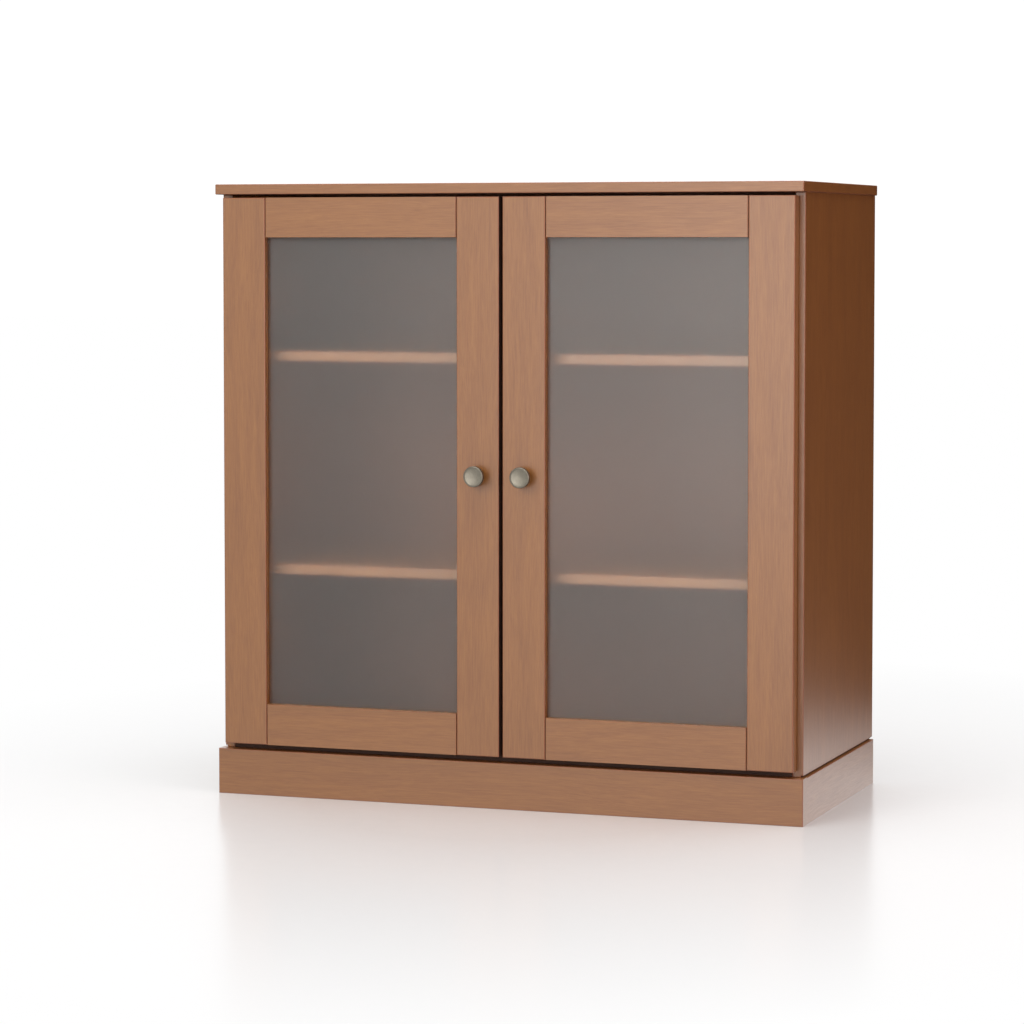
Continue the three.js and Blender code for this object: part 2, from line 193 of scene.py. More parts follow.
def ease(piece, width, test=lambda middle, along: True, steps=EASING_STEPS):
    """Rounds the sharp outside edges that pass a test, and marks the new faces as eased."""
    edit(piece)
    bpy.ops.mesh.select_mode(type="EDGE")
    bpy.ops.mesh.select_all(action="DESELECT")
    shape = bmesh.from_edit_mesh(piece.data)
    found = False
    for edge in shape.edges:
        a, b = (v.co for v in edge.verts)
        sharp = len(edge.link_faces) == 2 and edge.calc_face_angle(0) > SHARP_ANGLE and edge.is_convex
        chosen = sharp and bool(test((a + b) / 2, (b - a).normalized()))
        edge.select_set(chosen)
        found = found or chosen
    bmesh.update_edit_mesh(piece.data)
    if found:
        bpy.ops.mesh.bevel(offset=width, segments=steps, affect="EDGES", clamp_overlap=True)
        shape = bmesh.from_edit_mesh(piece.data)
        mark = shape.faces.layers.float.get("eased") or shape.faces.layers.float.new("eased")
        for face in shape.faces:
            if face.select and max(abs(share) for share in face.normal) < 0.999:
                face[mark] = 1.0
        bmesh.update_edit_mesh(piece.data)
    leave()


def drill(piece, mouth, axis, radius, depth, sides=HOLE_SIDES):
    """Bores a round hole from its mouth along an axis."""
    turn = {"x": (0, math.pi / 2, 0), "y": (math.pi / 2, 0, 0), "z": (0, 0, 0)}[axis]
    take(None)
    bpy.ops.mesh.primitive_cylinder_add(
        vertices=sides, radius=radius, depth=2 * abs(depth), location=Vector(mouth), rotation=turn,
    )
    bit = bpy.context.object
    take(piece)
    cut = piece.modifiers.new("hole", "BOOLEAN")
    cut.operation = "DIFFERENCE"
    cut.solver = "EXACT"
    cut.object = bit
    bpy.ops.object.modifier_apply(modifier=cut.name)
    bpy.data.objects.remove(bit)


def turned(name, base, axis, profile, sides):
    """A turned piece from (radius, distance) pairs, the distances taken from its base along an axis."""
    forward = AXES[axis.strip("-")] * (-1 if axis.startswith("-") else 1)
    tilt = forward.to_track_quat("Z", "Y").to_euler()
    take(None)
    start_radius, start_reach = profile[0]
    centre = Vector(base) + forward * start_reach
    bpy.ops.mesh.primitive_circle_add(
        vertices=sides, radius=start_radius, fill_type="NGON", location=centre, rotation=tilt,
    )
    piece = named(bpy.context.object, name)
    bpy.ops.object.transform_apply(location=True, rotation=True, scale=True)
    edit(piece)
    bpy.ops.mesh.select_mode(type="FACE")
    bpy.ops.mesh.select_all(action="SELECT")
    for (radius, reach), (next_radius, next_reach) in zip(profile, profile[1:]):
        move = forward * (next_reach - reach)
        bpy.ops.mesh.extrude_region_move(TRANSFORM_OT_translate={"value": move})
        share = next_radius / radius
        middle = Vector(base) + forward * next_reach
        bpy.ops.transform.resize(value=(share, share, share), center_override=middle)
    bpy.ops.mesh.select_all(action="SELECT")
    bpy.ops.mesh.normals_make_consistent(inside=False)
    leave()
    smooth(piece)
    return piece


def scaled(profile, radius, height=1):
    """A profile given in shares, brought to its size."""
    return tuple((radius * across, height * up) for across, up in profile)


def smooth(piece, angle=SHARP_ANGLE):
    take(piece)
    bpy.ops.object.shade_smooth_by_angle(angle=angle)


def copy_to(piece, name, move):
    """A copy of a piece with its own mesh, moved into place."""
    take(piece)
    bpy.ops.object.duplicate(linked=False)
    twin = named(bpy.context.object, name)
    twin.location = move
    bpy.ops.object.transform_apply(location=True, rotation=True, scale=True)
    return twin


def joined(name, parts):
    take(parts[0])
    for part in parts:
        part.select_set(True)
    bpy.ops.object.join()
    return named(bpy.context.object, name)


# ---------------------------------------------------------------- finishes

GRAIN_SWAY = 0.035
GRAIN_RINGS = 70
GRAIN_SHIFT = (0.371, 0.537, 0.713)


def add_node(tree, kind, place, **settings):
    made = tree.nodes.new(kind)
    made.location = place
    for name, value in settings.items():
        setattr(made, name, value)
    return made


def wire(tree, source, target):
    tree.links.new(source, target)


def noise(tree, place, vector, scale, detail, roughness=0.5):
    made = add_node(tree, "ShaderNodeTexNoise", place)
    made.inputs["Scale"].default_value = scale
    made.inputs["Detail"].default_value = detail
    made.inputs["Roughness"].default_value = roughness
    wire(tree, vector, made.inputs["Vector"])
    return made.outputs["Fac"]


def stretched(tree, place, vector, scale):
    made = add_node(tree, "ShaderNodeMapping", place)
    made.inputs["Scale"].default_value = scale
    wire(tree, vector, made.inputs["Vector"])
    return made.outputs["Vector"]


def remap(tree, place, value, low, high, to_low, to_high):
    made = add_node(tree, "ShaderNodeMapRange", place)
    for name, given in (("From Min", low), ("From Max", high), ("To Min", to_low), ("To Max", to_high)):
        if isinstance(given, (int, float)):
            made.inputs[name].default_value = given
        else:
            wire(tree, given, made.inputs[name])
    wire(tree, value, made.inputs["Value"])
    return made.outputs["Result"]


def maths(tree, place, operation, a, b):
    made = add_node(tree, "ShaderNodeMath", place, operation=operation)
    for socket, given in zip(made.inputs, (a, b)):
        if isinstance(given, (int, float)):
            socket.default_value = given
        else:
            wire(tree, given, socket)
    return made.outputs["Value"]


def blend_colour(tree, place, share, a, b, mode="MIX"):
    made = add_node(tree, "ShaderNodeMix", place, data_type="RGBA", blend_type=mode)
    for socket, given in ((made.inputs["Factor"], share), (made.inputs["A"], a), (made.inputs["B"], b)):
        if isinstance(given, (int, float, tuple)):
            socket.default_value = given
        else:
            wire(tree, given, socket)
    return made.outputs["Result"]


def group(name, inputs, outputs):
    """A shader node group with named sockets."""
    tree = bpy.data.node_groups.new(name, "ShaderNodeTree")
    for socket_name, kind, value in inputs:
        socket = tree.interface.new_socket(socket_name, in_out="INPUT", socket_type=kind)
        if value is not None:
            socket.default_value = value
    for socket_name, kind in outputs:
        tree.interface.new_socket(socket_name, in_out="OUTPUT", socket_type=kind)
    start = add_node(tree, "NodeGroupInput", (-1400, 0))
    end = add_node(tree, "NodeGroupOutput", (900, 0))
    return tree, start.outputs, end.inputs


def wood_grain_group():
    """Close-grained stained hardwood whose grain runs along Z."""
    tree, given, result = group(
        "wood_grain",
        [
            ("Vector", "NodeSocketVector", None),
            ("Light Stain", "NodeSocketColor", (0.4, 0.14, 0.03, 1)),
            ("Dark Stain", "NodeSocketColor", (0.3, 0.1, 0.02, 1)),
            ("Edge Stain", "NodeSocketColor", (0.35, 0.1, 0.02, 1)),
            ("Fibre", "NodeSocketFloat", 0.5),
            ("Figure", "NodeSocketFloat", 0.5),
            ("Eased", "NodeSocketFloat", 0.0),
            ("Polish", "NodeSocketFloat", 0.4),
        ],
        [("Color", "NodeSocketColor"), ("Roughness", "NodeSocketFloat"), ("Height", "NodeSocketFloat")],
    )
    vector = given["Vector"]
    drift = noise(tree, (-1200, -500), stretched(tree, (-1400, -500), vector, (1, 1, 0.25)), 7, 2)
    sway = add_node(tree, "ShaderNodeVectorMath", (-1000, -500), operation="MULTIPLY")
    wire(tree, drift, sway.inputs[0])
    sway.inputs[1].default_value = (GRAIN_SWAY, GRAIN_SWAY, 0)
    bent = add_node(tree, "ShaderNodeVectorMath", (-850, -400), operation="ADD")
    wire(tree, vector, bent.inputs[0])
    wire(tree, sway.outputs["Vector"], bent.inputs[1])
    bent = bent.outputs["Vector"]

    def layer(row, stretch, scale, detail, roughness):
        """Noise drawn out along the grain."""
        along = stretched(tree, (-800, row), bent, (1, 1, stretch))
        return noise(tree, (-600, row), along, scale, detail, roughness)

    fibre = layer(400, 0.04, 520, 5, 0.66)
    fine = layer(200, 0.03, 1500, 3, 0.6)
    pores = layer(0, 0.07, 900, 2, 0.5)
    bands = layer(-200, 0.06, 46, 3, 0.55)
    figure = layer(-400, 0.1, 11, 2, 0.4)
    cloud = noise(tree, (-600, -600), vector, 4.5, 3, 0.5)
    ring_angle = maths(tree, (-500, -400), "MULTIPLY", figure, GRAIN_RINGS)
    rings = maths(tree, (-400, -400), "SINE", ring_angle, 0)
    rings = remap(tree, (-250, -400), rings, -1, 1, 0, 1)
    streaks = maths(tree, (-250, 300), "ADD", maths(tree, (-400, 300), "MULTIPLY", fibre, 0.62),
                    maths(tree, (-400, 150), "MULTIPLY", fine, 0.38))
    streaks = remap(tree, (-100, 300), streaks, 0.39, 0.61, 0, 1)
    bands = remap(tree, (-250, -150), bands, 0.3, 0.7, 0, 1)
    broad = maths(tree, (-50, -250), "ADD", maths(tree, (-150, -200), "MULTIPLY", bands, 0.55),
                  maths(tree, (-150, -350), "MULTIPLY", rings, 0.25))
    broad = maths(tree, (50, -250), "ADD", broad, maths(tree, (-150, -600), "MULTIPLY", cloud, 0.4))
    fibre_share = maths(tree, (150, 300), "MULTIPLY", streaks, given["Fibre"])
    broad_share = maths(tree, (150, -100), "MULTIPLY", broad, given["Figure"])
    share = maths(tree, (300, 100), "ADD", fibre_share, broad_share)
    colour = blend_colour(tree, (450, 200), share, given["Dark Stain"], given["Light Stain"])
    pore_mark = remap(tree, (150, 0), pores, 0.66, 0.76, 0, 0.45)
    colour = blend_colour(tree, (600, 200), pore_mark, colour, given["Dark Stain"])
    edge_break = remap(tree, (300, -300), streaks, 0, 1, 0.55, 1)
    edge_share = maths(tree, (450, -300), "MULTIPLY", given["Eased"], edge_break)
    colour = blend_colour(tree, (750, 200), edge_share, colour, given["Edge Stain"])
    wire(tree, colour, result["Color"])
    gloss = remap(tree, (450, -100), streaks, 0, 1, 0.045, -0.03)
    gloss = maths(tree, (600, -100), "ADD", gloss, given["Polish"])
    edge_gloss = maths(tree, (600, -300), "MULTIPLY", given["Eased"], 0.08)
    gloss = maths(tree, (750, -100), "ADD", gloss, edge_gloss)
    wire(tree, gloss, result["Roughness"])
    pits = maths(tree, (450, -500), "MULTIPLY", pore_mark, 1.6)
    relief = maths(tree, (600, -450), "SUBTRACT", streaks, pits)
    wire(tree, relief, result["Height"])
    return tree


def metal_group():
    """Plated metal with fine drawn lines round it and faint clouding."""
    tree, given, result = group(
        "plated_metal",
        [
            ("Vector", "NodeSocketVector", None),
            ("Bright", "NodeSocketColor", (0.7, 0.7, 0.7, 1)),
            ("Dull", "NodeSocketColor", (0.5, 0.5, 0.5, 1)),
            ("Line Scale", "NodeSocketFloat", 600.0),
            ("Polish", "NodeSocketFloat", 0.3),
            ("Clouding", "NodeSocketFloat", 0.1),
        ],
        [("Color", "NodeSocketColor"), ("Roughness", "NodeSocketFloat"), ("Height", "NodeSocketFloat")],
    )
    vector = given["Vector"]
    lines = add_node(tree, "ShaderNodeTexNoise", (-600, 200))
    wire(tree, stretched(tree, (-800, 200), vector, (1, 1, 0.12)), lines.inputs["Vector"])
    wire(tree, given["Line Scale"], lines.inputs["Scale"])
    lines.inputs["Detail"].default_value = 3
    cloud = noise(tree, (-600, -100), vector, 160, 4, 0.6)
    specks = noise(tree, (-600, -300), vector, 2600, 2, 0.5)
    both = maths(tree, (-450, 100), "ADD", lines.outputs["Fac"], cloud)
    share = remap(tree, (-300, 100), both, 0.75, 1.25, 0, 1)
    wire(tree, blend_colour(tree, (0, 200), share, given["Dull"], given["Bright"]), result["Color"])
    duller = remap(tree, (-150, -100), share, 0, 1, 1, -1)
    spread = maths(tree, (0, -100), "MULTIPLY", duller, given["Clouding"])
    wire(tree, maths(tree, (200, -100), "ADD", spread, given["Polish"]), result["Roughness"])
    wire(tree, maths(tree, (0, -300), "ADD", lines.outputs["Fac"], specks), result["Height"])
    return tree


def new_material(name):
    made = bpy.data.materials.new(name)
    made.use_nodes = True
    tree = made.node_tree
    tree.nodes.clear()
    output = add_node(tree, "ShaderNodeOutputMaterial", (900, 0))
    shader = add_node(tree, "ShaderNodeBsdfPrincipled", (500, 0))
    wire(tree, shader.outputs["BSDF"], output.inputs["Surface"])
    return made, tree, shader, output


def place_on_board(tree, turn=(0, 0, 0)):
    """Object coordinates, shifted for each board and turned so that the grain runs along Z."""
    where = add_node(tree, "ShaderNodeTexCoord", (-1300, 0))
    shift = add_node(tree, "ShaderNodeAttribute", (-1300, -250), attribute_name="board_place")
    add = add_node(tree, "ShaderNodeVectorMath", (-1100, 0), operation="ADD")
    wire(tree, where.outputs["Object"], add.inputs[0])
    wire(tree, shift.outputs["Vector"], add.inputs[1])
    lay = add_node(tree, "ShaderNodeMapping", (-900, 0))
    lay.inputs["Rotation"].default_value = turn
    wire(tree, add.outputs["Vector"], lay.inputs["Vector"])
    return lay.outputs["Vector"]


def add_bump(tree, shader, height, strength, distance):
    bump = add_node(tree, "ShaderNodeBump", (250, -300))
    bump.inputs["Strength"].default_value = strength
    bump.inputs["Distance"].default_value = distance
    wire(tree, height, bump.inputs["Height"])
    wire(tree, bump.outputs["Normal"], shader.inputs["Normal"])


GRAIN_TURNS = {"upright": (0, 0, 0), "across": (0, -math.pi / 2, 0), "deep": (math.pi / 2, 0, 0)}
WOOD_GRAIN = wood_grain_group()
PLATED_METAL = metal_group()

LIGHT_STAIN = (0.328, 0.128, 0.027, 1)
DARK_STAIN = (0.196, 0.067, 0.013, 1)
EDGE_STAIN = (0.245, 0.062, 0.010, 1)
# Painted shade: two near-black colours, lighter and darker, for faces in narrow gaps and grooves, where
# shade falls.
PAINTED_SHADE_PALE = (0.070, 0.022, 0.007, 1)
PAINTED_SHADE_DEEP = (0.040, 0.012, 0.004, 1)
LINING_LIGHT = (0.250, 0.086, 0.024, 1)
LINING_DARK = (0.180, 0.056, 0.014, 1)
BACK_LIGHT = (0.36, 0.18, 0.085, 1)
BACK_DARK = (0.27, 0.125, 0.055, 1)


def wood_material(name, direction, light, dark, edge, polish, coat=0.0):
    made, tree, shader, _ = new_material(name)
    vector = place_on_board(tree, GRAIN_TURNS[direction])
    grain = add_node(tree, "ShaderNodeGroup", (-500, 0), node_tree=WOOD_GRAIN)
    wire(tree, vector, grain.inputs["Vector"])
    eased = add_node(tree, "ShaderNodeAttribute", (-900, -400), attribute_name="eased")
    wire(tree, eased.outputs["Fac"], grain.inputs["Eased"])
    for socket, value in (
        ("Light Stain", light), ("Dark Stain", dark), ("Edge Stain", edge),
        ("Fibre", 0.55), ("Figure", 0.5), ("Polish", polish),
    ):
        grain.inputs[socket].default_value = value
    wire(tree, grain.outputs["Color"], shader.inputs["Base Color"])
    wire(tree, grain.outputs["Roughness"], shader.inputs["Roughness"])
    add_bump(tree, shader, grain.outputs["Height"], strength=0.12, distance=0.0004)
    shader.inputs["Coat Weight"].default_value = coat
    shader.inputs["Coat Roughness"].default_value = 0.28
    shader.inputs["Coat IOR"].default_value = 1.5
    return made


STAINED = {
    direction: wood_material(
        f"stained_wood_{direction}", direction, LIGHT_STAIN, DARK_STAIN, EDGE_STAIN,
        polish=0.42, coat=0.6,
    )
    for direction in GRAIN_TURNS
}
# Painted shade: a near-black wood finish without coat, put on faces in narrow gaps and grooves, where
# shade falls.
PAINTED_GAP_SHADE = {
    direction: wood_material(
        f"painted_gap_shade_{direction}", direction, PAINTED_SHADE_PALE, PAINTED_SHADE_DEEP, PAINTED_SHADE_DEEP, polish=0.75,
    )
    for direction in ("upright", "across")
}
BACK_BOARD = wood_material("back_board", "upright", BACK_LIGHT, BACK_DARK, BACK_DARK, polish=0.6)
BACK_LINING = wood_material(
    "back_lining", "upright", LINING_LIGHT, LINING_DARK, LINING_DARK, polish=0.5,
)


def metal_material(name, bright, dull, line_scale, polish, clouding, bump, brushed=0.0):
    """Plated metal; a brushed one is brushed in rings round the axis it was turned on."""
    made, tree, shader, _ = new_material(name)
    where = add_node(tree, "ShaderNodeTexCoord", (-1100, 0))
    metal = add_node(tree, "ShaderNodeGroup", (-500, 0), node_tree=PLATED_METAL)
    wire(tree, where.outputs["Object"], metal.inputs["Vector"])
    for socket, value in (
        ("Bright", bright), ("Dull", dull), ("Line Scale", line_scale),
        ("Polish", polish), ("Clouding", clouding),
    ):
        metal.inputs[socket].default_value = value
    wire(tree, metal.outputs["Color"], shader.inputs["Base Color"])
    wire(tree, metal.outputs["Roughness"], shader.inputs["Roughness"])
    add_bump(tree, shader, metal.outputs["Height"], strength=bump, distance=0.0002)
    shader.inputs["Metallic"].default_value = 1.0
    if brushed:
        shader.inputs["Anisotropic"].default_value = brushed
        axis = add_node(tree, "ShaderNodeAttribute", (-1100, -500), attribute_name="turning_axis")
        away = add_node(tree, "ShaderNodeVectorMath", (-900, -500), operation="SUBTRACT")
        wire(tree, where.outputs["Object"], away.inputs[0])
        wire(tree, axis.outputs["Vector"], away.inputs[1])
        ring = add_node(tree, "ShaderNodeVectorMath", (-700, -500), operation="CROSS_PRODUCT")
        wire(tree, away.outputs["Vector"], ring.inputs[0])
        ring.inputs[1].default_value = (0, 1, 0)
        wire(tree, ring.outputs["Vector"], shader.inputs["Tangent"])
    return made


NICKEL = metal_material(
    "satin_nickel", bright=(0.185, 0.166, 0.133, 1), dull=(0.150, 0.135, 0.107, 1),
    line_scale=1800.0, polish=0.40, clouding=0.04, bump=0.08, brushed=0.35,
)
HINGE_STEEL = metal_material(
    "hinge_steel", bright=(0.66, 0.66, 0.66, 1), dull=(0.50, 0.50, 0.51, 1),
    line_scale=700.0, polish=0.30, clouding=0.07, bump=0.10,
)
ZINC_STEEL = metal_material(
    "zinc_steel", bright=(0.60, 0.61, 0.63, 1), dull=(0.44, 0.45, 0.47, 1),
    line_scale=900.0, polish=0.38, clouding=0.09, bump=0.15,
)


def frosted_glass():
    """Sand-blasted glass: it blurs what is behind it and lets the lamps reach the shelves."""
    made, tree, shader, output = new_material("frosted_glass")
    where = add_node(tree, "ShaderNodeTexCoord", (-1100, 0))
    vector = where.outputs["Object"]
    etch = noise(tree, (-700, 200), vector, 2200, 3, 0.6)
    patch = noise(tree, (-700, -100), vector, 14, 3, 0.5)
    colour = blend_colour(tree, (-300, 200), patch, (0.88, 0.89, 0.87, 1), (0.93, 0.94, 0.92, 1))
    wire(tree, colour, shader.inputs["Base Color"])
    rough = maths(tree, (-300, -50), "ADD", remap(tree, (-500, 0), etch, 0.3, 0.7, 0.30, 0.36),
                  remap(tree, (-500, -200), patch, 0.3, 0.7, -0.015, 0.015))
    wire(tree, rough, shader.inputs["Roughness"])
    add_bump(tree, shader, etch, strength=0.06, distance=0.0001)
    shader.inputs["IOR"].default_value = 1.35
    shader.inputs["Transmission Weight"].default_value = 0.98
    through = add_node(tree, "ShaderNodeBsdfTransparent", (500, 250))
    through.inputs["Color"].default_value = (0.82, 0.81, 0.79, 1)
    path = add_node(tree, "ShaderNodeLightPath", (500, 500))
    mix = add_node(tree, "ShaderNodeMixShader", (720, 100))
    wire(tree, path.outputs["Is Shadow Ray"], mix.inputs["Fac"])
    wire(tree, shader.outputs["BSDF"], mix.inputs[1])
    wire(tree, through.outputs["BSDF"], mix.inputs[2])
    wire(tree, mix.outputs["Shader"], output.inputs["Surface"])
    return made


def soft_rubber():
    made, tree, shader, _ = new_material("bumper_rubber")
    where = add_node(tree, "ShaderNodeTexCoord", (-1100, 0))
    dust = noise(tree, (-700, 0), where.outputs["Object"], 900, 4, 0.6)
    colour = blend_colour(tree, (-300, 200), dust, (0.52, 0.50, 0.46, 1), (0.66, 0.64, 0.60, 1))
    wire(tree, colour, shader.inputs["Base Color"])
    wire(tree, remap(tree, (-300, -50), dust, 0.3, 0.7, 0.5, 0.68), shader.inputs["Roughness"])
    add_bump(tree, shader, dust, strength=0.1, distance=0.0001)
    return made


FROSTED_GLASS = frosted_glass()
BUMPER_RUBBER = soft_rubber()

boards_made = []


def dress(piece, material, body, slot, *nodes):
    """Gives a finished piece its material and its body, and hides the nodes it stands for; the slot is
    not used.
    """
    piece.data.materials.clear()
    piece.data.materials.append(material)
    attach(piece, body)
    if nodes:
        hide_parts(*nodes)
    return piece


def dress_board(piece, direction, body, node, material=None, slot="stained_wood"):
    """Dresses a wooden board, with its own stretch of grain."""
    boards_made.append(piece.name)
    place = piece.data.attributes.new("board_place", "FLOAT_VECTOR", "POINT")
    shift = tuple(part * len(boards_made) for part in GRAIN_SHIFT)
    place.data.foreach_set("vector", shift * len(piece.data.vertices))
    return dress(piece, material or STAINED[direction], body, slot, node)


def finish_faces(piece, material, test):
    """Gives the faces whose centre and normal pass a test a material of their own."""
    piece.data.materials.append(material)
    for face in piece.data.polygons:
        if test(face.center, face.normal):
            face.material_index = len(piece.data.materials) - 1


# ---------------------------------------------------------------- carcass

def near(a, b):
    return abs(a - b) < TOLERANCE


def make_side_board(side_name, side):
    node = f"{side_name}_side_panel"
    low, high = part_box(node)
    back_low, back_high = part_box("back_panel")
    start = Vector((low.x, low.y, low.z + SHADOW_GROOVE_HEIGHT))
    board = block(f"{side_name}_side_board", start, (high.x, back_low.y, high.z))
    outer = side * max(abs(low.x), abs(high.x))
    rabbet_x = outer - side * (abs(outer) - back_high.x - BACK_CLEARANCE)
    groove_x = outer - side * SHADOW_GROOVE_DEPTH
    edit(board)
    score("x", rabbet_x)
    score("x", groove_x)
    step_out(
        board, lambda c, n: n.y > 0.9 and side * (c.x - rabbet_x) > 0, (0, high.y - back_low.y, 0),
    )
    step_out(
        board, lambda c, n: n.z < -0.9 and side * (groove_x - c.x) > 0,
        (0, 0, -SHADOW_GROOVE_HEIGHT),
    )
    leave()
    ease(board, BOARD_EASING, lambda m, d: near(m.y, low.y) or (near(m.x, outer) and abs(d.z) > 0.9))
    inner = outer - side * (high.x - low.x)
    for level in LEVELS:
        for place in ("front", "rear"):
            pin_low, pin_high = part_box(f"{level}_shelf_pin_{side_name}_{place}")
            centre = ((pin_low.y + pin_high.y) / 2, pin_low.z + PIN_COLLAR_RADIUS)
            drill(board, (inner, *centre), "x", PIN_HOLE_RADIUS, PIN_HOLE_DEPTH, SMALL_HOLE_SIDES)
    dress_board(board, "upright", "carcass", node)
    # Painted shade: the groove faces under the side board get the near-black gap finish, for the shade
    # in the groove.
    finish_faces(board, PAINTED_GAP_SHADE["upright"], lambda c, n: c.z < start.z + TOLERANCE and (
        near(c.x, groove_x) or n.z < -0.9 and side * (c.x - groove_x) > 0))


def make_plain_board(node, name, direction, easing=BOARD_EASING, test=None, **finish):
    """A board that fills its node's box, eased along the edges that pass the test."""
    board = block(name, *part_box(node))
    ease(board, easing, test or (lambda m, d: True))
    dress_board(board, direction, "carcass", node, **finish)
    return board


def make_back_sheet():
    """A thin sheet, plain on the outside and stained where it shows inside the cabinet."""
    sheet = make_plain_board(
        "back_panel", "back_sheet", "upright", SHEET_EASING, material=BACK_BOARD, slot="back_board",
    )
    finish_faces(sheet, BACK_LINING, lambda c, n: n.y < -0.9)


def make_carcass():
    slab = make_plain_board("top_panel", "top_slab", "across", SLAB_EASING)
    # Painted shade: the slab's underside gets the near-black gap finish, for the shade in the gap above
    # the doors.
    finish_faces(slab, PAINTED_GAP_SHADE["across"], lambda c, n: n.z < -0.9)
    for side_name, side in SIDES.items():
        make_side_board(side_name, side)
    low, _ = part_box("bottom_panel")
    bottom = make_plain_board(
        "bottom_panel", "bottom_board", "across", test=lambda m, d: near(m.y, low.y),
    )
    # Painted shade: the bottom board's front edge gets the near-black gap finish, for the shade under
    # the doors.
    finish_faces(bottom, PAINTED_GAP_SHADE["across"], lambda c, n: n.y < -0.9)
    for level in LEVELS:
        shelf_low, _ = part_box(f"{level}_shelf")
        make_plain_board(
            f"{level}_shelf", f"{level}_shelf_board", "across", SHELF_EASING,
            lambda m, d: near(m.y, shelf_low.y),
        )
    make_back_sheet()


def make_plinth():
    low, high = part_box("plinth_front_board")
    make_plain_board(
        "plinth_front_board", "plinth_front", "across", BOARD_EASING,
        lambda m, d: near(m.y, low.y) or (near(m.z, high.z) and abs(d.x) > 0.9),
    )
    for side_name, side in SIDES.items():
        outer = side * high.x
        make_plain_board(
            f"plinth_{side_name}_board", f"plinth_{side_name}", "deep", BOARD_EASING,
            lambda m, d: near(m.x, outer) and abs(d.y) > 0.9,
        )
    make_plain_board("plinth_rear_board", "plinth_rear", "across")


# ---------------------------------------------------------------- doors

def rabbet_of(side_name):
    """The two corners of the rabbet that the pane lies in; its low Y is the rabbet's floor."""
    low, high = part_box(f"{side_name}_door_glass")
    gap = Vector((PANE_CLEARANCE, 0, PANE_CLEARANCE))
    return low - gap, high + gap


def make_stile(side_name, side, kind):
    node = f"{side_name}_door_{kind}_stile"
    low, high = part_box(node)
    cut_low, cut_high = rabbet_of(side_name)
    faces_right = cut_low.x > low.x
    line = cut_low.x if faces_right else cut_high.x
    stile = block(f"{side_name}_{kind}_stile", low, (high.x, cut_low.y, high.z))
    edit(stile)
    score("x", line)
    score("z", cut_low.z)
    score("z", cut_high.z)

    def in_rabbet(c):
        return (c.x > line) == faces_right and cut_low.z < c.z < cut_high.z

    step_out(stile, lambda c, n: n.y > 0.9 and not in_rabbet(c), (0, high.y - cut_low.y, 0))
    leave()
    outside = low.x if faces_right else high.x
    ease(
        stile, FRAME_EASING,
        lambda m, d: near(m.y, low.y) or (near(m.x, outside) and near(m.y, high.y)),
    )
    if kind == "hinge":
        for level in LEVELS:
            cup_low, cup_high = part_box(f"{side_name}_{level}_hinge_cup")
            centre = side * (max(abs(cup_low.x), abs(cup_high.x)) - CUP_RADIUS)
            mouth = (centre, high.y, (cup_low.z + cup_high.z) / 2)
            drill(stile, mouth, "y", CUP_HOLE_RADIUS, CUP_HOLE_DEPTH)
    else:
        screw_low, screw_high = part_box(f"{side_name}_knob_screw")
        centre = (screw_low + screw_high) / 2
        drill(stile, (centre.x, high.y, centre.z), "y",
              KNOB_HOLE_RADIUS, KNOB_HOLE_REACH, SMALL_HOLE_SIDES)
    dress_board(stile, "upright", f"{side_name}_door", node)
    if kind == "meeting":
        # Painted shade: the meeting edge gets the near-black gap finish, for the shade in the gap
        # between the doors.
        finish_faces(stile, PAINTED_GAP_SHADE["upright"], lambda c, n: near(c.x, outside) and abs(n.x) > 0.9)


def make_rail(side_name, level):
    node = f"{side_name}_door_{level}_rail"
    low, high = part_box(node)
    cut_low, cut_high = rabbet_of(side_name)
    stile_boxes = [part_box(f"{side_name}_door_{kind}_stile") for kind in ("hinge", "meeting")]
    left_stile, right_stile = sorted(stile_boxes, key=lambda box: box[0].x)
    line = cut_low.z if level == "bottom" else cut_high.z
    ends = (left_stile[1].x + JOINT_GAP, right_stile[0].x - JOINT_GAP)
    rail = block(
        f"{side_name}_{level}_rail",
        (left_stile[1].x, low.y + JOINT_GAP_DEPTH, low.z), (right_stile[0].x, cut_low.y, high.z),
    )
    edit(rail)
    for end in ends:
        score("x", end)
    step_out(rail, lambda c, n: n.y < -0.9 and ends[0] < c.x < ends[1], (0, -JOINT_GAP_DEPTH, 0))
    score("z", line)
    step_out(
        rail, lambda c, n: n.y > 0.9 and (c.z < line) == (level == "bottom"),
        (0, high.y - cut_low.y, 0),
    )
    leave()
    ease(
        rail, JOINT_EASING,
        lambda m, d: near(m.y, low.y) and abs(d.z) > 0.9 and any(near(m.x, e) for e in ends),
    )
    ease(rail, FRAME_EASING, lambda m, d: near(m.y, low.y) and abs(d.x) > 0.9)
    dress_board(rail, "across", f"{side_name}_door", node)


def make_glazing(side_name):
    node = f"{side_name}_door_glass"
    pane = block(f"{side_name}_frosted_pane", *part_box(node))
    ease(pane, PANE_ARRIS, steps=1)
    dress(pane, FROSTED_GLASS, f"{side_name}_door", "frosted_glass", node)
    for place in ("top", "bottom", "hinge_side", "meeting_side"):
        bead_node = f"{side_name}_door_{place}_bead"
        low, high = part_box(bead_node)
        bead = block(f"{side_name}_{place}_strip", low, high)
        ease(bead, BEAD_ROUNDING, lambda m, d: near(m.y, high.y) and max(abs(d.x), abs(d.z)) > 0.9)
        direction = "across" if place in ("top", "bottom") else "upright"
        dress_board(bead, direction, f"{side_name}_door", bead_node)


# ---------------------------------------------------------------- fittings

